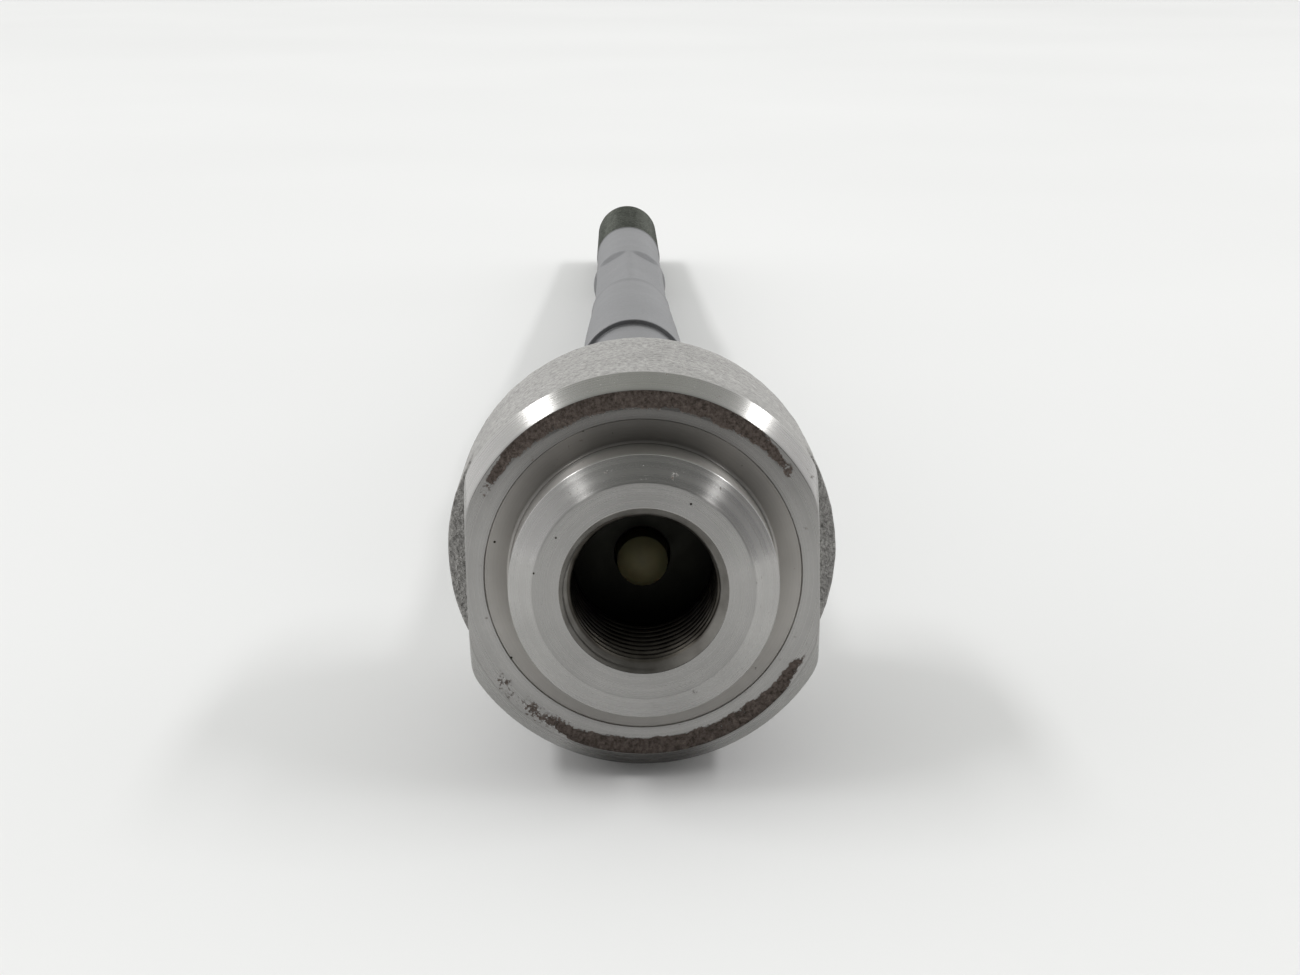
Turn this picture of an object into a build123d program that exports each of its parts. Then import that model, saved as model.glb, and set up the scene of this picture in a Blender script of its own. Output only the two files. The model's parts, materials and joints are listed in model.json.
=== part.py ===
from build123d import *
import os
from math import cos, radians, sin, sqrt

# Inner tie rod of a rack-and-pinion steering gear: a ball-ended rod held in a threaded socket.
# Millimetres. The socket's nose face lies in the plane Y = 0 with the bore's axis on Y, the rod
# runs towards +Y, +Z is up, and the two wrench flats face +X and -X.

# Rack thread in the nose: M16 x 1.5 female, drawn at its crest circle as far as a stud goes, up to
# the seat's spigot, and at its mean circle past that
THREAD_CREST_R = 7.19
THREAD_MEAN_R = 7.6
THREAD_RELIEF_R = 8.15
COUNTERSINK_R = 8.34
THREAD_IN_USE_END = 10.2
THREAD_END = 13.6
SOCKET_WEB_FRONT = 15.0
SOCKET_WEB_BACK = 18.6
SPIGOT_HOLE_R = 2.9

# Nose and flange
NOSE_FACE_R = 10.85
NOSE_R = 13.37
NOSE_CHAMFER_LENGTH = 1.58
GROOVE_BOTTOM = 6.9
GROOVE_STEP = 0.18
GROOVE_OUTER_R = 15.9
GROOVE_RIM_R = 15.97
FLANGE_FACE = 6.17
FLANGE_FACE_R = 18.85
FLANGE_CHAMFER = 1.6
BODY_R = FLANGE_FACE_R + FLANGE_CHAMFER
FLATS_ACROSS = 35.5
FLATS_END = 17.0

# Rear of the socket, rolled over the closing ring
BODY_END = 30.5
DRAFT_END = 38.0
DRAFT_END_R = 19.35
ROLL_START = 43.6
ROLL_START_R = 17.9
LIP_CREST_R = 15.3
LIP_INNER_R = 12.8
LIP_BACK = 46.8
CAVITY_R = 15.6

# Ball joint
BALL_CENTRE = 35.5
BALL_R = 13.0
BALL_FLAT_R = 3.2
BALL_CLEARANCE = 0.05
SEAT_CLEARANCE = 0.05
SEAT_FRONT = 20.0
SEAT_SPLIT = 36.4
SEAT_SPLIT_GAP = 0.6
SEAT_BACK = 42.4
SPIGOT_R = 2.6
SPIGOT_TIP = 10.6
SPIGOT_DOME = 1.4
RING_BACK = 44.5
RING_INNER_R = 11.4
SPRING_OUTER_R = 14.2
SPRING_INNER_R = 5.4
SPRING_THICKNESS = 0.9

# Rod, from the ball outwards
NECK_R = 6.2
NECK_FILLET = 2.0
NECK_END = 52.0
COLLAR_FOOT = 96.0
COLLAR_FOOT_R = 7.4
COLLAR_R = 8.35
COLLAR_START = 98.0
BOOT_SEAT_START = 109.0
BOOT_SEAT_END = 129.0
BOOT_SEAT_R = 7.55
EDGE_BREAK = 0.4
SHANK_R = 6.8
TAPER_MIDDLE = 160.0
TAPER_MIDDLE_R = 7.85
TAPER_LATE_R = 7.15

# Wrench hexagon pressed into the shank, and the M14 x 1.5 male thread on its end
HEX_ACROSS = 13.0
HEX_START = 190.0
HEX_END = 236.0
HEX_RAMP = 2.6
HEX_CORNER_R = 7.25
ROD_THREAD_R = 7.0
ROD_THREAD_START = 284.0
ROD_END = 337.0
ROD_END_CHAMFER = 1.3

os.makedirs("parts", exist_ok=True)


def on_ball(radius, offset):
    """Distance from the ball's centre, along the axis, of a sphere's circle that has this radius."""
    return sqrt(radius**2 - offset**2)


def radial_plane(angle):
    """The plane through the axis whose local X is the axis and local Y points out at this angle."""
    across = (cos(radians(angle)), 0, -sin(radians(angle)))
    return Plane(origin=(0, 0, 0), x_dir=(0, 1, 0), z_dir=across)


# Socket housing: a forged body with a machined nose, drawn as a half section and turned about Y.
# In each half section the first number is the place along the axis and the second is the radius.
with BuildPart() as socket_housing:
    with BuildSketch(Plane.YZ):
        with BuildLine():
            countersink = Line((COUNTERSINK_R - THREAD_CREST_R, THREAD_CREST_R), (0, COUNTERSINK_R))
            nose = Polyline(
                countersink @ 1,
                (0, NOSE_FACE_R),
                (NOSE_CHAMFER_LENGTH, NOSE_R),
                (GROOVE_BOTTOM, NOSE_R),
                (FLANGE_FACE + GROOVE_STEP, GROOVE_OUTER_R),
                (FLANGE_FACE, GROOVE_RIM_R),
                (FLANGE_FACE, FLANGE_FACE_R),
                (FLANGE_FACE + FLANGE_CHAMFER, BODY_R),
                (BODY_END, BODY_R),
                (DRAFT_END, DRAFT_END_R),
                (ROLL_START, ROLL_START_R),
            )
            rolled_edge = ThreePointArc(
                nose @ 1,
                (LIP_BACK - 1.0, (ROLL_START_R + LIP_CREST_R) / 2 + 0.55),
                (LIP_BACK, LIP_CREST_R),
            )
            Polyline(
                rolled_edge @ 1,
                (LIP_BACK, LIP_INNER_R + EDGE_BREAK),
                (LIP_BACK - EDGE_BREAK, LIP_INNER_R),
                (RING_BACK, LIP_INNER_R),
                (RING_BACK, CAVITY_R),
                (SOCKET_WEB_BACK, CAVITY_R),
                (SOCKET_WEB_BACK, SPIGOT_HOLE_R),
                (SOCKET_WEB_FRONT, SPIGOT_HOLE_R),
                (SOCKET_WEB_FRONT, THREAD_RELIEF_R),
                (THREAD_END, THREAD_RELIEF_R),
                (THREAD_END, THREAD_MEAN_R),
                (THREAD_IN_USE_END, THREAD_MEAN_R),
                (THREAD_IN_USE_END, THREAD_CREST_R),
                countersink @ 0,
            )
        make_face()
    revolve(axis=Axis.Y)
    groove_root = socket_housing.edges().filter_by(GeomType.CIRCLE).filter_by_position(
        Axis.Y, GROOVE_BOTTOM - 0.01, GROOVE_BOTTOM + 0.01
    )
    fillet(groove_root, radius=0.3)
    for side in (-1, 1):
        with BuildSketch(Plane.XZ.offset(-FLATS_END)):
            with Locations((side * (FLATS_ACROSS / 2 + BODY_R / 2), 0)):
                Rectangle(BODY_R, 3 * BODY_R)
        extrude(amount=FLATS_END, mode=Mode.SUBTRACT)
socket_housing.part.label = "socket_housing"
export_step(socket_housing.part, "parts/socket_housing.step")

# Front ball seat: a plastic cup behind the web, with a spigot that looks out through the bore.
with BuildPart() as front_ball_seat:
    cup_r = BALL_R + BALL_CLEARANCE
    outer_r = CAVITY_R - SEAT_CLEARANCE
    with BuildSketch(Plane.YZ):
        with BuildLine():
            middle_of_cup = Line((BALL_CENTRE - cup_r, 0), (SPIGOT_TIP, 0))
            dome = ThreePointArc(
                middle_of_cup @ 1,
                (SPIGOT_TIP + 0.3 * SPIGOT_DOME, 0.6 * SPIGOT_R),
                (SPIGOT_TIP + SPIGOT_DOME, SPIGOT_R),
            )
            back = Polyline(
                dome @ 1,
                (SEAT_FRONT, SPIGOT_R),
                (SEAT_FRONT, outer_r - 1),
                (SEAT_FRONT + 1, outer_r),
                (SEAT_SPLIT, outer_r),
                (SEAT_SPLIT, on_ball(cup_r, SEAT_SPLIT - BALL_CENTRE)),
            )
            ThreePointArc(
                back @ 1,
                (BALL_CENTRE - cup_r * cos(radians(50)), cup_r * sin(radians(50))),
                middle_of_cup @ 0,
            )
        make_face()
    revolve(axis=Axis.Y)
front_ball_seat.part.label = "front_ball_seat"
export_step(front_ball_seat.part, "parts/front_ball_seat.step")

# Rear ball seat: the plastic ring that holds the ball in from the rod's side.
with BuildPart() as rear_ball_seat:
    ring_front = SEAT_SPLIT + SEAT_SPLIT_GAP
    ring_back = SEAT_BACK - SEAT_CLEARANCE
    with BuildSketch(Plane.YZ):
        with BuildLine():
            outline = Polyline(
                (ring_front, on_ball(cup_r, ring_front - BALL_CENTRE)),
                (ring_front, outer_r),
                (ring_back, outer_r),
                (ring_back, on_ball(cup_r, ring_back - BALL_CENTRE)),
            )
            middle = (ring_front + ring_back) / 2
            ThreePointArc(
                outline @ 1,
                (middle, on_ball(cup_r, middle - BALL_CENTRE)),
                outline @ 0,
            )
        make_face()
    revolve(axis=Axis.Y)
rear_ball_seat.part.label = "rear_ball_seat"
export_step(rear_ball_seat.part, "parts/rear_ball_seat.step")

# Disc spring: a shallow steel cone between the web and the front seat, which takes up wear.
with BuildPart() as preload_spring:
    spring_tip = SEAT_FRONT - SEAT_CLEARANCE
    with BuildSketch(Plane.YZ):
        with BuildLine():
            Polyline(
                (SOCKET_WEB_BACK, SPRING_OUTER_R),
                (SOCKET_WEB_BACK + SPRING_THICKNESS, SPRING_OUTER_R),
                (spring_tip, SPRING_INNER_R),
                (spring_tip - SPRING_THICKNESS, SPRING_INNER_R),
                close=True,
            )
        make_face()
    revolve(axis=Axis.Y)
preload_spring.part.label = "preload_spring"
export_step(preload_spring.part, "parts/preload_spring.step")

# Closing ring: the flat steel ring under the rolled lip, against which the rear seat bears.
with BuildPart() as closing_ring:
    with BuildSketch(Plane.XZ.offset(-RING_BACK)):
        Circle(CAVITY_R)
        Circle(RING_INNER_R, mode=Mode.SUBTRACT)
    extrude(amount=RING_BACK - SEAT_BACK)
    ring_mouth = closing_ring.edges().filter_by(GeomType.CIRCLE).sort_by(SortBy.RADIUS)[:2]
    chamfer(ring_mouth, length=EDGE_BREAK)
closing_ring.part.label = "closing_ring"
export_step(closing_ring.part, "parts/closing_ring.step")

# Tie rod: ball, neck, collar, boot seat, tapered shank, wrench hexagon and threaded end in one
# forging.
with BuildPart() as tie_rod:
    with BuildSketch(Plane.YZ):
        with BuildLine():
            front_flat = Line(
                (BALL_CENTRE - on_ball(BALL_R, BALL_FLAT_R), 0),
                (BALL_CENTRE - on_ball(BALL_R, BALL_FLAT_R), BALL_FLAT_R),
            )
            ball = ThreePointArc(
                front_flat @ 1,
                (BALL_CENTRE, BALL_R),
                (BALL_CENTRE + on_ball(BALL_R, NECK_R), NECK_R),
            )
            collar = Polyline(
                ball @ 1,
                (NECK_END, NECK_R),
                (COLLAR_FOOT, COLLAR_FOOT_R),
                (COLLAR_START, COLLAR_R),
                (BOOT_SEAT_START - EDGE_BREAK, COLLAR_R),
                (BOOT_SEAT_START, COLLAR_R - EDGE_BREAK),
                (BOOT_SEAT_START, BOOT_SEAT_R),
                (BOOT_SEAT_END, BOOT_SEAT_R),
                (BOOT_SEAT_END, COLLAR_R - EDGE_BREAK),
                (BOOT_SEAT_END + EDGE_BREAK, COLLAR_R),
            )
            taper = Polyline(
                collar @ 1,
                (TAPER_MIDDLE, TAPER_MIDDLE_R),
                (HEX_START - HEX_RAMP, TAPER_LATE_R),
                (HEX_START, HEX_CORNER_R),
                (HEX_END, HEX_CORNER_R),
                (HEX_END + HEX_RAMP, SHANK_R),
            )
            Polyline(
                taper @ 1,
                (ROD_THREAD_START, SHANK_R),
                (ROD_THREAD_START + ROD_THREAD_R - SHANK_R, ROD_THREAD_R),
                (ROD_END - ROD_END_CHAMFER, ROD_THREAD_R),
                (ROD_END, ROD_THREAD_R - ROD_END_CHAMFER),
                (ROD_END, 0),
                front_flat @ 0,
            )
        make_face()
    revolve(axis=Axis.Y)
    neck_root = BALL_CENTRE + on_ball(BALL_R, NECK_R)
    fillet(
        tie_rod.edges().filter_by(GeomType.CIRCLE).filter_by_position(
            Axis.Y, neck_root - 0.01, neck_root + 0.01
        ),
        radius=NECK_FILLET,
    )
    for flat in range(6):
        with BuildSketch(radial_plane(30 + 60 * flat)):
            with BuildLine():
                Polyline(
                    (HEX_START, ROD_THREAD_R + 1),
                    (HEX_START + HEX_RAMP, HEX_ACROSS / 2),
                    (HEX_END - HEX_RAMP, HEX_ACROSS / 2),
                    (HEX_END, ROD_THREAD_R + 1),
                    close=True,
                )
            make_face()
        extrude(amount=HEX_ACROSS / 2, both=True, mode=Mode.SUBTRACT)
tie_rod.part.label = "tie_rod"
export_step(tie_rod.part, "parts/tie_rod.step")
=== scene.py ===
import json
from math import atan, cos, pi, radians, sin, sqrt, tan

import bpy
import numpy as np
from mathutils import Matrix, Vector, noise


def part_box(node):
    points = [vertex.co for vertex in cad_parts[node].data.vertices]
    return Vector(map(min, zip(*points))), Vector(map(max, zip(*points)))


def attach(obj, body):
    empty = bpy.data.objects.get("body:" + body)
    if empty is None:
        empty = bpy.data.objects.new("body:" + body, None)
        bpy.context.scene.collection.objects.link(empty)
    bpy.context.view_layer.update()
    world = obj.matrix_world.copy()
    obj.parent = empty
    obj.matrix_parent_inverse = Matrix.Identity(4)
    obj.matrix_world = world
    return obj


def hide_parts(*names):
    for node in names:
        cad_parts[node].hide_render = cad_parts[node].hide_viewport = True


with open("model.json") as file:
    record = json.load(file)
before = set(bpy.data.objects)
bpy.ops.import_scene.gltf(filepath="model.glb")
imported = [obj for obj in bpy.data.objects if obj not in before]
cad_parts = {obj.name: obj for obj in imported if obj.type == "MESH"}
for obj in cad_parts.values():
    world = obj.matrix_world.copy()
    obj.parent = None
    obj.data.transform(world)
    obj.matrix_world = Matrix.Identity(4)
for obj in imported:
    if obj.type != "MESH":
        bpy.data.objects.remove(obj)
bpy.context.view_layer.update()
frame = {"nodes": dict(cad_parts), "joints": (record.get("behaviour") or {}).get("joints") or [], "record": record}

# Inner tie rod: ball socket with a turned nose, and a long rod with a threaded end.
# Shapes are worked out in millimetres in the frame of the CAD model: the axis of the part is Y,
# the nose face lies at Y = 0, the rod runs towards +Y, and the wrench flats face +X and -X.
# Every outline is a list of (place along the axis, radius, fillet radius, longest step) corners.
MM = 0.001

housing_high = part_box("socket_housing")[1]
rod_low, rod_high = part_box("tie_rod")
mounts = {m["name"]: m for m in frame["record"]["mounts"]}

BODY_R = housing_high.x / MM
LIP_BACK = housing_high.y / MM
ROD_END = rod_high.y / MM
BALL_R = rod_high.x / MM
BALL_FRONT = rod_low.y / MM
BALL_CENTRE = frame["joints"][0]["pos_m"][1] / MM
FLAT_X = mounts["wrench_flat_right"]["pos_m"][0] / MM
THREAD_CREST_R = mounts["rack_thread"]["dims"]["r_mm"]
ROD_THREAD_R = mounts["rod_end_thread"]["dims"]["r_mm"]
THREAD_PITCH = 1.5

# Socket nose and flange
COUNTERSINK_R = 8.34
NOSE_FACE_R = 10.85
NOSE_R = 13.37
NOSE_CHAMFER_END = 1.58
GROOVE_BOTTOM = 6.9
GROOVE_STEP = 0.18
GROOVE_OUTER_R = 15.9
FLANGE_FACE = 6.17
FLANGE_RIM_R = 15.97
FLANGE_FACE_R = 18.85
CHAMFER_END = FLANGE_FACE + BODY_R - FLANGE_FACE_R
FLATS_END = 17.0
FLATS_RUNOUT = 0.3
FLAT_BEVEL = 0.12
CORNER_SOFTNESS = 0.3
EDGE_ROUND = 0.12

# Forging skin left on the flange face: the middle and half span of each arc in degrees, anticlockwise
# from +X, and how far inside the skin its middle counts as, in mm. Below 0 only specks are left.
SKIN_ARCS = ((92, 56, 1.0), (283, 47, 1.0), (231, 18, -0.1))
SKIN_INNER_R = 17.1
SKIN_OUTER_R = 19.6

# Rear of the socket, rolled over the closing ring
BODY_END = 30.5
DRAFT_END = 38.0
DRAFT_END_R = 19.35
ROLL_START = 43.6
ROLL_START_R = 17.9
LIP_CREST_R = 15.6
LIP_INNER_R = 12.8
RING_BACK = 44.5
CAVITY_R = 15.6

# Bore
THREAD_ROOT_R = 8.0
THREAD_RELIEF_R = 8.15
THREAD_END = 13.6
WEB_FRONT = 15.0
WEB_BACK = 18.6
SPIGOT_HOLE_R = 2.9

# Rod, from the ball outwards
BALL_FLAT_R = 3.2
NECK_R = 6.2
NECK_FILLET = 2.0
NECK_END = 52.0
COLLAR_FOOT = 96.0
COLLAR_FOOT_R = 7.4
COLLAR_START = 98.0
COLLAR_R = 8.35
BOOT_SEAT_START = 109.0
BOOT_SEAT_END = 129.0
BOOT_SEAT_R = 7.55
TAPER_MIDDLE = 160.0
TAPER_MIDDLE_R = 7.85
TAPER_LATE_R = 7.15
SHANK_R = 6.8
HEX_ACROSS = 13.0
HEX_CORNER_R = 7.25
HEX_START = 190.0
HEX_END = 236.0
HEX_RAMP = 2.6
ROD_THREAD_START = 284.0
ROD_THREAD_DEPTH = 0.92
ROD_END_CHAMFER = 1.3
END_CENTRE_R = 0.4

# How the part lies, and the studio round it
ROLL = radians(1.2)
FLOOR_REACH = 5000.0
LIGHT_DISTANCE = 5.0


# ---------------------------------------------------------------- shapes

def rounded(corners):
    """An outline through corners, with each corner's fillet as an arc. Returns rows of (y, r)."""
    points = []
    for i, (y, r, radius, step) in enumerate(corners):
        corner = np.array((y, r), float)
        if radius == 0 or i in (0, len(corners) - 1):
            run = [corner]
        else:
            back = np.array(corners[i - 1][:2], float) - corner
            ahead = np.array(corners[i + 1][:2], float) - corner
            back /= np.linalg.norm(back)
            ahead /= np.linalg.norm(ahead)
            half = np.arccos(np.clip(back @ ahead, -1, 1)) / 2
            centre = corner + (back + ahead) / np.linalg.norm(back + ahead) * radius / sin(half)
            start = corner + back * radius / tan(half)
            end = corner + ahead * radius / tan(half)
            count = 3 + int(round((pi - 2 * half) / radians(22)))
            run = []
            for t in np.linspace(0, 1, count):
                spoke = (start - centre) * (1 - t) + (end - centre) * t
                run.append(centre + spoke / np.linalg.norm(spoke) * radius)
        if points:
            points += between(points[-1], run[0], corners[i - 1][3])
        points += run
    return np.array(points)


def between(a, b, step):
    """Points strictly between a and b, evenly spaced, with one close to each end."""
    length = np.linalg.norm(b - a)
    if length < 0.3:
        return []
    near = min(0.08, length / 6)
    count = max(1, int(round((length - 2 * near) / step)))
    places = np.linspace(near, length - near, count + 1) / length
    return [a + (b - a) * t for t in places]


def mesh_from_grid(name, points, loops, start_cap=False, end_cap=False):
    """A mesh from rows of points that wrap round the axis. loops joins the last row to the first."""
    rows, columns, _ = points.shape
    index = np.arange(rows * columns).reshape(rows, columns)
    upper = index if loops else index[:-1]
    lower = np.roll(index, -1, axis=0) if loops else index[1:]
    corners = (upper, np.roll(upper, -1, axis=1), np.roll(lower, -1, axis=1), lower)
    faces = np.stack(corners, axis=-1).reshape(-1, 4).tolist()
    if start_cap:
        faces.append(index[0][::-1].tolist())
    if end_cap:
        faces.append(index[-1].tolist())
    mesh = bpy.data.meshes.new(name)
    mesh.from_pydata((points.reshape(-1, 3) * MM).tolist(), [], faces)
    mesh.shade_smooth()
    piece = bpy.data.objects.new(name, mesh)
    bpy.context.scene.collection.objects.link(piece)
    return piece


def add_attribute(piece, name, values):
    """Stores one number for each vertex, for the piece's material to read."""
    layer = piece.data.attributes.new(name, "FLOAT", "POINT")
    layer.data.foreach_set("value", np.asarray(values, np.float32).ravel())


def lumps(points, size, seed):
    """Smooth noise from about -1 to 1 at each point, with lumps of about this size in mm."""
    shift = Vector((seed * 7.31, seed * 3.77, seed * 5.19))
    flat = points.reshape(-1, 3) / size
    values = [noise.noise(Vector(p) + shift) for p in flat.tolist()]
    return np.array(values).reshape(points.shape[:-1])


def smooth_step(x):
    x = np.clip(x, 0, 1)
    return x * x * (3 - 2 * x)


def thread_height(along, angle, crest, root):
    """0 on a right-hand thread's crests and 1 in its roots. crest and root are shares of the pitch."""
    phase = (along / THREAD_PITCH + angle / (2 * pi)) % 1.0
    away = np.abs(phase - 0.5) * 2
    return np.clip((away - crest) / (1 - crest - root), 0, 1)


# ---------------------------------------------------------------- socket housing

FLAT_COLUMNS = 36
ROUND_COLUMNS = 100


def housing_outline():
    """The closed outline of the socket: out over the nose and body, and back through the bore."""
    return rounded([
        (0, COUNTERSINK_R, 0, 0.4),
        (0, NOSE_FACE_R, EDGE_ROUND, 0.5),
        (NOSE_CHAMFER_END, NOSE_R, EDGE_ROUND, 0.6),
        (GROOVE_BOTTOM, NOSE_R, 0.3, 0.3),
        (FLANGE_FACE + GROOVE_STEP, GROOVE_OUTER_R, 0.06, 0.05),
        (FLANGE_FACE, FLANGE_RIM_R, 0.05, 0.2),
        (FLANGE_FACE, FLANGE_FACE_R, EDGE_ROUND, 0.3),
        (CHAMFER_END, BODY_R, 0.2, 0.35),
        (FLATS_END - FLATS_RUNOUT, BODY_R, 0, 0.05),
        (FLATS_END, BODY_R, 0, 0.4),
        (BODY_END, BODY_R, 6.0, 0.5),
        (DRAFT_END, DRAFT_END_R, 5.0, 0.5),
        (ROLL_START, ROLL_START_R, 2.2, 0.5),
        (LIP_BACK, LIP_CREST_R, 1.1, 0.4),
        (LIP_BACK, LIP_INNER_R, 0.3, 0.4),
        (RING_BACK, LIP_INNER_R, 0, 0.8),
        (RING_BACK, CAVITY_R, 0, 3.0),
        (WEB_BACK, CAVITY_R, 0.6, 3.0),
        (WEB_BACK, SPIGOT_HOLE_R, 0, 1.0),
        (WEB_FRONT, SPIGOT_HOLE_R, 0, 1.0),
        (WEB_FRONT, THREAD_RELIEF_R, 0.4, 1.0),
        (THREAD_END, THREAD_RELIEF_R, 0, 0.15),
        (COUNTERSINK_R - THREAD_CREST_R, THREAD_CREST_R, 0, 0.25),
        (0.06, COUNTERSINK_R - 0.06, 0, 0.1),
    ])


def column_angles(cut_r):
    """Angles of the columns round a circle that the two flats cut, with a column on each corner."""
    corner_z = sqrt(cut_r**2 - FLAT_X**2)
    corner = atan(corner_z / FLAT_X)
    near = 0.02
    middle = np.linspace(-1 + 3 * near, 1 - 3 * near, FLAT_COLUMNS - 3)
    across = np.concatenate(([-1, -1 + near], middle, [1 - near]))
    flat = np.arctan(across * corner_z / FLAT_X)
    around = np.concatenate(([0, 0.004], np.linspace(0.012, 0.988, ROUND_COLUMNS - 3), [0.996]))
    arc = corner + around * (pi - 2 * corner)
    half = np.concatenate((flat, arc))
    return np.concatenate((half, half + pi))


def within_flats(radius, angle, flat_x):
    """The radius, cut down to the wrench flats, with the corner between the two eased off."""
    flat_r = flat_x / np.maximum(np.abs(np.cos(angle)), 1e-6)
    ease = CORNER_SOFTNESS * np.log1p(np.exp(-np.abs(radius - flat_r) / CORNER_SOFTNESS))
    return np.minimum(radius, flat_r) - ease


def skin_field(radius, angle):
    """How far a place on the flange face lies inside the forging skin that turning left, in mm."""
    turn = np.degrees(angle) % 360
    field = np.full_like(radius, -1.0)
    for middle, half_span, most in SKIN_ARCS:
        away = np.abs(turn - middle) / half_span
        inner = radius - (SKIN_INNER_R + 0.5 * smooth_step((away - 0.4) / 0.6))
        outer = SKIN_OUTER_R - 1.25 * smooth_step((away - 0.5) / 0.5) - radius
        ends = (1 - away) * half_span * 0.06
        inside = np.minimum(np.minimum(inner, outer), ends)
        field = np.maximum(field, np.minimum(inside, most))
    return field


def stain_field(y, r, angle):
    """How much the steel is darkened: by a brown film and partly by painted shade at the top of the groove and
    flange face, by painted shade at the bottom of the flange chamfer, and towards the bottom of the countersink."""
    if NOSE_R < r <= FLANGE_FACE_R and y > NOSE_CHAMFER_END:
        most, middle, half_span, level_part = 0.5, 88, 85, 0.1
    elif r <= COUNTERSINK_R and y < THREAD_PITCH:
        most, middle, half_span, level_part = 0.65, 262, 75, 0.1
    elif r > FLANGE_FACE_R and y <= CHAMFER_END:
        most, middle, half_span, level_part = 0.6, 270, 20, 0.4
    else:
        return np.zeros_like(angle)
    away = np.abs(np.degrees(angle) % 360 - middle) / half_span
    return most * (1 - smooth_step(away - level_part))


def make_housing():
    """The socket's outline turned about the axis, with the flats, thread, lumps and skin worked in."""
    rows, skin, film_and_painted_shade, forged = [], [], [], []
    for y, r in housing_outline():
        outside = r > FLANGE_RIM_R + 1e-6 and y >= FLANGE_FACE
        cut_r = min(r, BODY_R) if outside and y < CHAMFER_END else BODY_R
        angle = column_angles(max(cut_r, FLANGE_FACE_R) if outside else FLANGE_FACE_R)
        flat_x = FLAT_X - max(0.0, FLAT_BEVEL - abs(y - FLANGE_FACE))
        on_face = outside and y < FLANGE_FACE + 1e-6
        radius = np.full_like(angle, r)
        if on_face:
            share = (r - FLANGE_RIM_R) / (FLANGE_FACE_R - FLANGE_RIM_R)
            radius = FLANGE_RIM_R + (within_flats(FLANGE_FACE_R, angle, flat_x) - FLANGE_RIM_R) * share
        elif outside and y <= FLATS_END:
            left = smooth_step((y - FLATS_END + FLATS_RUNOUT) / FLATS_RUNOUT)
            radius += (within_flats(r, angle, flat_x) - r) * (1 - left)
        rows.append(np.stack((radius, np.full_like(angle, y), angle), axis=-1))
        skin.append(skin_field(radius, angle) if on_face else np.full_like(angle, -1.0))
        # Brown film and painted shade at the top of the groove and flange face, painted shade at the bottom of the
        # flange chamfer, and a darker bottom to the countersink
        film_and_painted_shade.append(stain_field(y, r, angle))
        rough = outside and CHAMFER_END + 0.05 < y < LIP_BACK - 1.2
        on_flat = (radius < r - 0.3) & (y < FLATS_END - FLATS_RUNOUT + 0.01)
        forged.append(~on_flat if rough else np.zeros_like(angle, bool))
    radius, along, angle = np.moveaxis(np.array(rows), -1, 0)
    skin = np.array(skin)
    forged = np.array(forged, float)
    plain = np.stack((radius * np.cos(angle), along, radius * np.sin(angle)), axis=-1)

    # Thread in the bore, with the countersink cut over its first turns
    in_bore = (along <= THREAD_END) & (radius < COUNTERSINK_R - 0.01)
    cut = THREAD_CREST_R + (THREAD_ROOT_R - THREAD_CREST_R) * thread_height(along, angle, 0.25, 0.125)
    cut = np.maximum(cut, COUNTERSINK_R - along)
    radius = np.where(in_bore, cut, radius)

    # Forging lumps on the body, and the skin of the flange face a little lower than its turned part
    body_lumps = 0.03 * lumps(plain, 6.0, 1)
    body_lumps = body_lumps + 0.04 * lumps(plain, 2.0, 2) + 0.045 * lumps(plain, 1.0, 3)
    radius = radius + forged * smooth_step((along - CHAMFER_END) / 0.6) * (body_lumps - 0.11)
    along = along + smooth_step(skin / 0.2) * (0.09 + 0.05 * lumps(plain, 0.6, 4))
    points = np.stack((radius * np.cos(angle), along, radius * np.sin(angle)), axis=-1)

    piece = mesh_from_grid("housing_shell", points, loops=True)
    add_attribute(piece, "skin", np.clip(0.5 + skin / 0.6, 0, 0.95))
    add_attribute(piece, "film_and_painted_shade", film_and_painted_shade)
    add_attribute(piece, "forged", forged)
    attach(piece, "socket")
    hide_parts("socket_housing")
    return piece


# ---------------------------------------------------------------- tie rod

ROD_COLUMNS = 96


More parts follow.
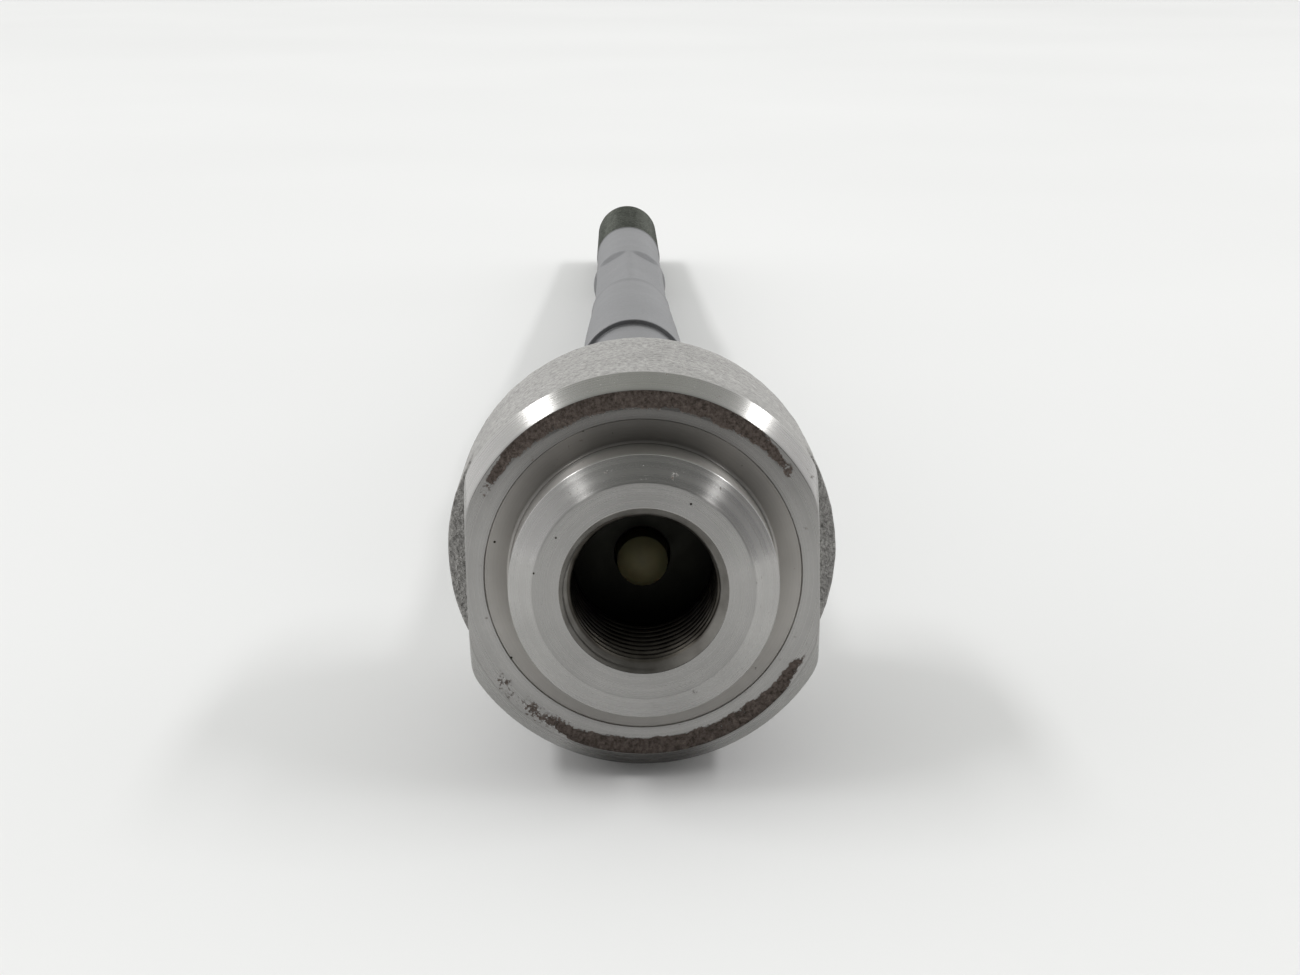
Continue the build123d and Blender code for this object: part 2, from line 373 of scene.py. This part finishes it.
def rod_outline():
    """The open outline of the rod, from the ball's front flat to the middle of the threaded end."""
    fillet_reach = sqrt((BALL_R + NECK_FILLET) ** 2 - (NECK_R + NECK_FILLET) ** 2)
    start = -sqrt(BALL_R**2 - BALL_FLAT_R**2)
    end = fillet_reach * BALL_R / (BALL_R + NECK_FILLET)
    ball = [(BALL_FRONT, END_CENTRE_R), (BALL_FRONT, 2.0)]
    for y in np.linspace(start, end, 60):
        ball.append((BALL_CENTRE + y, sqrt(BALL_R**2 - y**2)))
    rest = rounded([
        (BALL_CENTRE + fillet_reach - 1.05, 7.0, 0, 0.3),
        (BALL_CENTRE + fillet_reach, NECK_R, 0.9, 1.0),
        (NECK_END, NECK_R, 6.0, 2.0),
        (COLLAR_FOOT, COLLAR_FOOT_R, 1.0, 0.5),
        (COLLAR_START, COLLAR_R, 0.6, 1.0),
        (BOOT_SEAT_START, COLLAR_R, 0.2, 0.4),
        (BOOT_SEAT_START, BOOT_SEAT_R, 0.15, 1.5),
        (BOOT_SEAT_END, BOOT_SEAT_R, 0.15, 0.4),
        (BOOT_SEAT_END, COLLAR_R, 0.2, 1.5),
        (TAPER_MIDDLE, TAPER_MIDDLE_R, 8.0, 1.5),
        (HEX_START - HEX_RAMP, TAPER_LATE_R, 3.0, 0.6),
        (HEX_START, HEX_CORNER_R, 2.0, 1.2),
        (HEX_END, HEX_CORNER_R, 2.0, 0.6),
        (HEX_END + HEX_RAMP, SHANK_R, 2.0, 2.0),
        (ROD_THREAD_START - 0.4, SHANK_R, 0, 0.2),
        (ROD_THREAD_START, ROD_THREAD_R, 0, 0.125),
        (ROD_END - ROD_END_CHAMFER, ROD_THREAD_R, 0, 0.13),
        (ROD_END, ROD_THREAD_R - ROD_END_CHAMFER, 0, 0.5),
        (ROD_END, END_CENTRE_R, 0, 0.5),
    ])
    return np.concatenate((np.array(ball), rest))


def make_rod():
    """The rod's outline turned about the axis, with the hexagon, thread and forging wobble worked in."""
    outline = rod_outline()
    angle = np.linspace(0, 2 * pi, ROD_COLUMNS, endpoint=False)
    along = np.repeat(outline[:, :1], ROD_COLUMNS, axis=1)
    radius = np.repeat(outline[:, 1:], ROD_COLUMNS, axis=1)
    angle = np.repeat(angle[None, :], len(outline), axis=0)

    # Wrench hexagon with a corner on top, its ends ramped out to the round bar
    from_flat = angle % (pi / 3)
    from_flat = np.minimum(from_flat, pi / 3 - from_flat)
    ramp = np.clip(np.maximum(HEX_START + HEX_RAMP - along, along - HEX_END + HEX_RAMP), 0, None)
    hexagon = (HEX_ACROSS / 2 + ramp * 0.45) / np.cos(from_flat)
    in_hex = (along > HEX_START - 1) & (along < HEX_END + 1)
    softness = 0.05
    gap = np.clip((radius - hexagon) / softness, -30, 30)
    softened = radius - softness * np.logaddexp(0, gap)
    radius = np.where(in_hex, softened, radius)

    # Rolled thread, shallow where it starts, with the end's chamfer cut over it
    height = thread_height(along, angle, 0.125, 0.2)
    full = smooth_step((along - ROD_THREAD_START) / 1.5)
    thread = ROD_THREAD_R - ROD_THREAD_DEPTH * full * height
    on_thread = (along >= ROD_THREAD_START) & (outline[:, 1:] > 4)
    radius = np.where(on_thread, np.minimum(radius, thread), radius)

    points = np.stack((radius * np.cos(angle), along, radius * np.sin(angle)), axis=-1)
    on_shank = smooth_step((along - BOOT_SEAT_END - 2) / 6)
    on_shank = on_shank * smooth_step((ROD_THREAD_START - 3 - along) / 4)
    wobble = 0.05 * lumps(points, 9.0, 11) + 0.02 * lumps(points, 2.5, 12) - 0.05
    radius = radius + on_shank * wobble
    points = np.stack((radius * np.cos(angle), along, radius * np.sin(angle)), axis=-1)
    piece = mesh_from_grid("rod_forging", points[:, ::-1], loops=False, start_cap=True, end_cap=True)
    add_attribute(piece, "threaded", on_thread[:, ::-1] * 1.0)
    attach(piece, "rod")
    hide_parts("tie_rod")
    return piece


# ---------------------------------------------------------------- materials

class Shader:
    """A material's node tree, built a node at a time."""

    def __init__(self, name):
        self.material = bpy.data.materials.new(name)
        self.material.use_nodes = True
        self.tree = self.material.node_tree
        self.tree.nodes.clear()

    def add(self, kind, settings=None, **inputs):
        node = self.tree.nodes.new("ShaderNode" + kind)
        for key, value in (settings or {}).items():
            setattr(node, key, value)
        for key, value in inputs.items():
            self.put(node, key.replace("_", " "), value)
        return node

    def put(self, node, socket, value):
        """Sets or links one input. A name that is a number means the input's place in the list."""
        target = node.inputs[int(socket)] if socket.strip().isdigit() else node.inputs[socket]
        if isinstance(value, bpy.types.NodeSocket):
            self.tree.links.new(value, target)
        else:
            target.default_value = value

    def math(self, operation, a, b=0.0, c=0.0):
        node = self.add("Math", {"operation": operation})
        for place, value in enumerate((a, b, c)):
            self.put(node, str(place), value)
        return node.outputs[0]

    def axis_places(self):
        """Radius and place along the axis, in millimetres, and the plain object coordinates."""
        where = self.add("TexCoord").outputs["Object"]
        split = self.add("SeparateXYZ", Vector=where)
        x_square = self.math("POWER", split.outputs["X"], 2.0)
        z_square = self.math("POWER", split.outputs["Z"], 2.0)
        square = self.math("ADD", x_square, z_square)
        radius = self.math("MULTIPLY", self.math("SQRT", square), 1 / MM)
        along = self.math("MULTIPLY", split.outputs["Y"], 1 / MM)
        return radius, along, where

    def noise(self, where, size_mm, detail=2.0, roughness=0.5):
        scale = 1 / (size_mm * MM)
        node = self.add("TexNoise", Vector=where, Scale=scale, Detail=detail, Roughness=roughness)
        return node.outputs["Fac"]

    def rings(self, place, size_mm, detail=3.0):
        """Noise along one line only, which makes turning marks when the line crosses the lay."""
        one_line = {"noise_dimensions": "1D"}
        node = self.add("TexNoise", one_line, W=place, Scale=1 / size_mm, Detail=detail, Roughness=0.6)
        return node.outputs["Fac"]

    def spread(self, value, low, high):
        """value, from 0 to 1, mapped onto low to high."""
        node = self.add("MapRange", {"clamp": True})
        for place, number in enumerate((value, 0.3, 0.7, low, high)):
            self.put(node, str(place), number)
        return node.outputs[0]

    def span(self, value, low, high):
        """0 up to low, 1 from high, and even between."""
        node = self.add("MapRange", {"clamp": True})
        for place, number in enumerate((value, low, high, 0.0, 1.0)):
            self.put(node, str(place), number)
        return node.outputs[0]

    def mix(self, share, a, b):
        node = self.add("Mix", {"data_type": "RGBA"})
        self.put(node, "0", share)
        self.put(node, "6", a)
        self.put(node, "7", b)
        return node.outputs[2]

    def blend(self, share, a, b):
        node = self.add("Mix", {"data_type": "FLOAT"})
        for place, value in enumerate((share, a, b)):
            self.put(node, str((0, 2, 3)[place]), value)
        return node.outputs[0]

    def bump(self, height, distance_mm, strength, normal=None):
        node = self.add("Bump", Height=height, Distance=distance_mm * MM, Strength=strength)
        if normal is not None:
            self.put(node, "Normal", normal)
        return node.outputs["Normal"]

    def finish(self, color, roughness, normal, metallic=1.0, **constants):
        surface = self.add("BsdfPrincipled")
        self.put(surface, "Base Color", color)
        self.put(surface, "Roughness", roughness)
        self.put(surface, "Normal", normal)
        surface.inputs["Metallic"].default_value = metallic
        for key, value in constants.items():
            surface.inputs[key.replace("_", " ")].default_value = value
        output = self.add("OutputMaterial")
        self.tree.links.new(surface.outputs[0], output.inputs["Surface"])
        self.surface = surface
        return self.material


def turned_steel():
    """Turned nose, flange face and flats. The groove is duller, a brown film with painted shade and a few pits
    darken the steel, the faces are a darker copy of it as painted shade, and forging skin is left in places."""
    m = Shader("turned_steel")
    radius, along, where = m.axis_places()
    lay = m.math("ADD", radius, m.math("MULTIPLY", along, 0.73))
    fine = m.rings(lay, 0.09)
    coarse = m.rings(lay, 0.8)
    cloud = m.noise(where, 6.0, 3.0)
    tone = m.math("ADD", m.math("MULTIPLY", fine, 0.4), m.math("MULTIPLY", cloud, 0.6))
    bright = m.mix(m.spread(tone, 0.0, 1.0), (0.36, 0.354, 0.345, 1), (0.45, 0.443, 0.431, 1))
    dull = m.mix(m.spread(tone, 0.0, 1.0), (0.36, 0.347, 0.33, 1), (0.45, 0.435, 0.415, 1))
    # The nose and flange faces get a darker copy of the same steel: painted shade
    face_steel_painted_shade = m.mix(m.spread(tone, 0.0, 1.0), (0.29, 0.285, 0.277, 1), (0.365, 0.358, 0.349, 1))
    past_nose = m.span(along, NOSE_CHAMFER_END, NOSE_CHAMFER_END + 0.2)
    in_groove = m.math("MULTIPLY", past_nose, m.span(radius, FLANGE_RIM_R, FLANGE_RIM_R - 0.1))
    past_nose_face = m.span(along, 0.05, 0.15)
    past_flange_face = m.span(along, FLANGE_FACE + 0.1, FLANGE_FACE + 0.2)
    on_flange_face = m.math("SUBTRACT", m.span(along, 5.0, 5.1), past_flange_face)
    on_face = m.math("SUBTRACT", m.math("ADD", on_flange_face, 1.0), past_nose_face)
    steel = m.mix(on_face, bright, face_steel_painted_shade)
    steel = m.mix(in_groove, steel, dull)
    # Brown film and partly painted shade at the top of the groove and flange face, and painted shade at the bottom
    # of the flange chamfer
    film_and_painted_shade = m.add("Attribute", {"attribute_name": "film_and_painted_shade"}).outputs["Fac"]
    steel = m.mix(film_and_painted_shade, steel, (0.022, 0.017, 0.012, 1))
    cells = m.add("TexVoronoi", Vector=where, Scale=1 / (2.2 * MM))
    near_middle = m.span(cells.outputs["Distance"], 0.07, 0.05)
    pit = m.math("MULTIPLY", near_middle, m.span(cells.outputs["Color"], 0.66, 0.68))
    steel = m.mix(pit, steel, (0.02, 0.016, 0.013, 1))

    field = m.add("Attribute", {"attribute_name": "skin"}).outputs["Fac"]
    grain = m.noise(where, 0.32, 4.0, 0.7)
    patches = m.noise(where, 1.3, 2.0)
    wander = m.math("ADD", m.math("MULTIPLY", grain, 1.6), m.math("MULTIPLY", patches, 1.3))
    ragged = m.math("ADD", field, m.math("SUBTRACT", wander, 1.45))
    is_skin = m.span(ragged, 0.44, 0.54)
    skin_dark = m.mix(m.spread(patches, 0.0, 1.0), (0.035, 0.027, 0.022, 1), (0.07, 0.057, 0.049, 1))
    skin_tone = m.mix(m.spread(grain, 0.0, 1.0), skin_dark, (0.25, 0.208, 0.185, 1))
    color = m.mix(is_skin, steel, skin_tone)
    turned = m.blend(in_groove, m.spread(coarse, 0.24, 0.31), 0.36)
    lay_bump = m.bump(m.math("ADD", fine, m.math("MULTIPLY", coarse, 0.5)), 0.004, 0.5)
    normal = m.bump(m.math("MULTIPLY", grain, is_skin), 0.15, 1.0, lay_bump)
    roughness = m.blend(is_skin, turned, 0.6)
    material = m.finish(color, roughness, normal, Anisotropic=0.85, Anisotropic_Rotation=0.25)
    tangent = m.add("Tangent", {"direction_type": "RADIAL", "axis": "Y"})
    m.tree.links.new(tangent.outputs[0], m.surface.inputs["Tangent"])
    return material


def blasted_forging():
    """Shot-blasted forged body: light grey, evenly grainy, with small bright facets."""
    m = Shader("blasted_forging")
    where = m.add("TexCoord").outputs["Object"]
    grain = m.noise(where, 0.28, 2.0, 0.6)
    pits = m.noise(where, 0.55, 3.0, 0.65)
    cloud = m.noise(where, 7.0, 3.0)
    tone = m.math("ADD", m.math("MULTIPLY", grain, 0.4), m.math("MULTIPLY", pits, 0.6))
    light = m.mix(m.spread(cloud, 0.0, 1.0), (0.49, 0.48, 0.463, 1), (0.59, 0.578, 0.56, 1))
    color = m.mix(m.spread(tone, 0.0, 1.0), (0.15, 0.146, 0.14, 1), light)
    height = m.math("ADD", m.math("MULTIPLY", grain, 0.6), pits)
    normal = m.bump(height, 0.32, 1.0)
    return m.finish(color, m.spread(grain, 0.5, 0.64), normal)


def threaded_bore():
    """Dark thread, turning to painted shade at the bottom of the bore, and a matt grey countersink, darker towards
    its bottom.
    """
    m = Shader("threaded_bore")
    radius, along, where = m.axis_places()
    cloud = m.noise(where, 2.0, 3.0)
    thread = m.mix(m.spread(cloud, 0.0, 1.0), (0.04, 0.036, 0.03, 1), (0.1, 0.092, 0.08, 1))
    mouth = m.mix(m.spread(cloud, 0.0, 1.0), (0.2, 0.19, 0.175, 1), (0.3, 0.29, 0.27, 1))
    past_crests = m.span(radius, THREAD_CREST_R + 0.2, THREAD_CREST_R + 0.4)
    in_mouth = m.math("SUBTRACT", past_crests, m.span(along, 1.0, 1.2))
    # The countersink darkens towards its bottom, read from the same attribute as the brown film and painted shade
    film_and_painted_shade = m.add("Attribute", {"attribute_name": "film_and_painted_shade"}).outputs["Fac"]
    mouth = m.mix(film_and_painted_shade, mouth, (0.02, 0.017, 0.013, 1))
    color = m.mix(in_mouth, thread, mouth)
    # Painted shade: from 11 mm in, the colour darkens to near black at the web at the bottom of the bore
    color = m.mix(m.span(along, 11.0, WEB_FRONT), color, (0.012, 0.012, 0.01, 1))
    normal = m.bump(m.noise(where, 0.3, 3.0), 0.02, 0.5)
    roughness = m.blend(in_mouth, m.spread(cloud, 0.34, 0.46), 0.58)
    return m.finish(color, roughness, normal)


def rod_steel():
    """Forged shank with a fine grey skin, and a darker phosphated thread on its end."""
    m = Shader("rod_steel_skin")
    where = m.add("TexCoord").outputs["Object"]
    threaded = m.add("Attribute", {"attribute_name": "threaded"}).outputs["Fac"]
    grain = m.noise(where, 0.5, 3.0)
    cloud = m.noise(where, 9.0, 4.0)
    tone = m.math("ADD", m.math("MULTIPLY", grain, 0.4), m.math("MULTIPLY", cloud, 0.6))
    shank = m.mix(m.spread(tone, 0.0, 1.0), (0.165, 0.166, 0.172, 1), (0.24, 0.242, 0.248, 1))
    thread = m.mix(m.spread(grain, 0.0, 1.0), (0.055, 0.06, 0.052, 1), (0.12, 0.125, 0.11, 1))
    color = m.mix(threaded, shank, thread)
    roughness = m.spread(cloud, 0.5, 0.62)
    normal = m.bump(grain, 0.05, 0.6)
    return m.finish(color, roughness, normal)


def seat_plastic():
    """Pale yellow acetal, slightly translucent."""
    m = Shader("seat_acetal")
    where = m.add("TexCoord").outputs["Object"]
    cloud = m.noise(where, 1.5, 3.0)
    color = m.mix(m.spread(cloud, 0.0, 1.0), (0.12, 0.106, 0.05, 1), (0.155, 0.138, 0.065, 1))
    normal = m.bump(m.noise(where, 0.25, 2.0), 0.02, 0.4)
    translucence = {"Subsurface_Weight": 0.3, "Subsurface_Scale": 0.002}
    return m.finish(color, m.spread(cloud, 0.6, 0.72), normal, metallic=0.0, **translucence)


def stamped_steel(name, dark, light, rough):
    """Lightly mottled sheet steel, between these two colours and about this rough."""
    m = Shader(name)
    where = m.add("TexCoord").outputs["Object"]
    cloud = m.noise(where, 2.0, 3.0)
    color = m.mix(m.spread(cloud, 0.0, 1.0), dark, light)
    normal = m.bump(m.noise(where, 0.3, 3.0), 0.03, 0.5)
    return m.finish(color, m.spread(cloud, rough - 0.06, rough + 0.06), normal)


def floor_paper():
    """Matt pale grey paper with hardly any grain."""
    m = Shader("floor_paper")
    where = m.add("TexCoord").outputs["Object"]
    cloud = m.noise(where, 260.0, 2.0)
    color = m.mix(m.spread(cloud, 0.0, 1.0), (0.80, 0.80, 0.80, 1), (0.83, 0.83, 0.83, 1))
    normal = m.bump(m.noise(where, 1.2, 2.0), 0.05, 0.1)
    return m.finish(color, 0.9, normal, metallic=0.0, Specular_IOR_Level=0.1)


def paint(piece, materials):
    piece.data.materials.clear()
    for material in materials:
        piece.data.materials.append(material)


def paint_housing(piece):
    """Slot 0 is turned steel, 1 the forged body and 2 the threaded bore."""
    paint(piece, (turned_steel(), blasted_forging(), threaded_bore()))
    mesh = piece.data
    forged = np.zeros(len(mesh.vertices), np.float32)
    mesh.attributes["forged"].data.foreach_get("value", forged)
    where = np.zeros(len(mesh.vertices) * 3, np.float32)
    mesh.vertices.foreach_get("co", where)
    where = where.reshape(-1, 3) / MM
    corners = np.zeros(len(mesh.loops), np.int32)
    mesh.loops.foreach_get("vertex_index", corners)
    corners = corners.reshape(-1, 4)
    middle = where[corners].mean(axis=1)
    radius = np.hypot(middle[:, 0], middle[:, 2])
    slot = np.where(forged[corners].mean(axis=1) > 0.5, 1, 0)
    in_bore = (radius < COUNTERSINK_R) & (middle[:, 1] < WEB_BACK + 1)
    slot[in_bore] = 2
    mesh.polygons.foreach_set("material_index", slot.astype(np.int32))


# ---------------------------------------------------------------- stage, lights and camera

def laid(x, y, z):
    """A place or direction seen with the floor's width level, turned by the roll the part lies at."""
    return Vector((x * cos(ROLL) + z * sin(ROLL), y, z * cos(ROLL) - x * sin(ROLL)))


def make_floor():
    """A plane under the part, which lies on the rear of its socket's body and on the rod's end."""
    slope = (BODY_R - ROD_THREAD_R) / (ROD_END - ROD_END_CHAMFER - BODY_END)
    corners = []
    for x, y in ((-1, -1), (1, -1), (1, 1), (-1, 1)):
        height = -BODY_R + slope * (y * FLOOR_REACH - BODY_END)
        corners.append(laid(x * FLOOR_REACH, y * FLOOR_REACH, height) * MM)
    mesh = bpy.data.meshes.new("floor")
    mesh.from_pydata(corners, [], [(0, 1, 2, 3)])
    floor = bpy.data.objects.new("floor", mesh)
    bpy.context.scene.collection.objects.link(floor)
    paint(floor, (floor_paper(),))


def make_strip(name, towards, width, length, power):
    """A long soft light that lies along Y, in this direction from the socket."""
    light = bpy.data.lights.new(name, "AREA")
    light.shape = "RECTANGLE"
    light.size = width * LIGHT_DISTANCE
    light.size_y = length * LIGHT_DISTANCE
    light.energy = power
    strip = bpy.data.objects.new(name, light)
    bpy.context.scene.collection.objects.link(strip)
    at = laid(*towards).normalized()
    side = at.cross(Vector((0, 1, 0))).normalized()
    turn = Matrix((side, at.cross(side), at)).transposed()
    strip.matrix_world = Matrix.Translation(at * LIGHT_DISTANCE) @ turn.to_4x4()


def make_world():
    """Pale surroundings for the steel to reflect, darker overhead and darkest behind the camera."""
    world = bpy.data.worlds.new("studio")
    bpy.context.scene.world = world
    world.use_nodes = True
    tree = world.node_tree
    tree.nodes.clear()
    where = tree.nodes.new("ShaderNodeTexCoord")
    split = tree.nodes.new("ShaderNodeSeparateXYZ")
    turned = tree.nodes.new("ShaderNodeVectorRotate")
    aside = tree.nodes.new("ShaderNodeSeparateXYZ")
    overhead = tree.nodes.new("ShaderNodeValToRGB")
    behind = tree.nodes.new("ShaderNodeValToRGB")
    half = tree.nodes.new("ShaderNodeMath")
    multiply = tree.nodes.new("ShaderNodeMix")
    background = tree.nodes.new("ShaderNodeBackground")
    output = tree.nodes.new("ShaderNodeOutputWorld")
    turned.rotation_type = "Z_AXIS"
    turned.inputs["Angle"].default_value = radians(-8)
    half.operation = "MULTIPLY_ADD"
    half.inputs[1].default_value = 0.5
    half.inputs[2].default_value = 0.5
    multiply.data_type = "RGBA"
    multiply.blend_type = "MULTIPLY"
    multiply.inputs[0].default_value = 1.0
    link = tree.links.new
    link(where.outputs["Generated"], split.inputs[0])
    link(where.outputs["Generated"], turned.inputs["Vector"])
    link(split.outputs["Z"], overhead.inputs[0])
    link(turned.outputs["Vector"], aside.inputs[0])
    link(aside.outputs["Y"], half.inputs[0])
    link(half.outputs[0], behind.inputs[0])
    link(overhead.outputs[0], multiply.inputs[6])
    link(behind.outputs[0], multiply.inputs[7])
    link(multiply.outputs[2], background.inputs[0])
    link(background.outputs[0], output.inputs[0])
    stops = overhead.color_ramp.elements
    stops[0].position, stops[0].color = 0.5, (0.9, 0.9, 0.9, 1)
    stops[1].position, stops[1].color = 1.0, (0.4, 0.41, 0.38, 1)
    stops = behind.color_ramp.elements
    stops[0].position, stops[0].color = 0.19, (0.15, 0.15, 0.15, 1)
    stops[1].position, stops[1].color = 0.4, (1, 1, 1, 1)
    background.inputs[1].default_value = 1.4


def make_camera():
    """Stands in front of and above the nose, and looks along the rod."""
    camera = bpy.data.cameras.new("camera")
    camera.lens = 60.92
    camera.sensor_width = 36.0
    camera.clip_start, camera.clip_end = 0.01, 20.0
    holder = bpy.data.objects.new("camera", camera)
    bpy.context.scene.collection.objects.link(holder)
    pitch, yaw = radians(12.484), radians(0.86)
    aim = laid(sin(yaw) * cos(pitch), cos(yaw) * cos(pitch), -sin(pitch))
    right = aim.cross(laid(0, 0, 1)).normalized()
    turn = Matrix((right, right.cross(aim), -aim)).transposed()
    holder.matrix_world = Matrix.Translation(laid(-2.53, -207.16, 56.26) * MM) @ turn.to_4x4()
    bpy.context.scene.camera = holder


make_camera()
housing = make_housing()
paint_housing(housing)
rod = make_rod()
paint(rod, (rod_steel(),))
plastic = seat_plastic()
for node in ("front_ball_seat", "rear_ball_seat"):
    paint(frame["nodes"][node], (plastic,))
spring_steel = stamped_steel("spring_steel", (0.08, 0.08, 0.085, 1), (0.16, 0.16, 0.17, 1), 0.4)
paint(frame["nodes"]["preload_spring"], (spring_steel,))
ring_steel = stamped_steel("ring_steel", (0.32, 0.32, 0.31, 1), (0.46, 0.46, 0.45, 1), 0.34)
paint(frame["nodes"]["closing_ring"], (ring_steel,))
make_floor()
make_world()
make_strip("strip_left", (-0.81, 0.0, 1.0), 0.12, 0.7, 70)
make_strip("strip_right", (0.99, 0.0, 1.0), 0.085, 0.7, 60)
bpy.context.scene.view_settings.view_transform = "Standard"
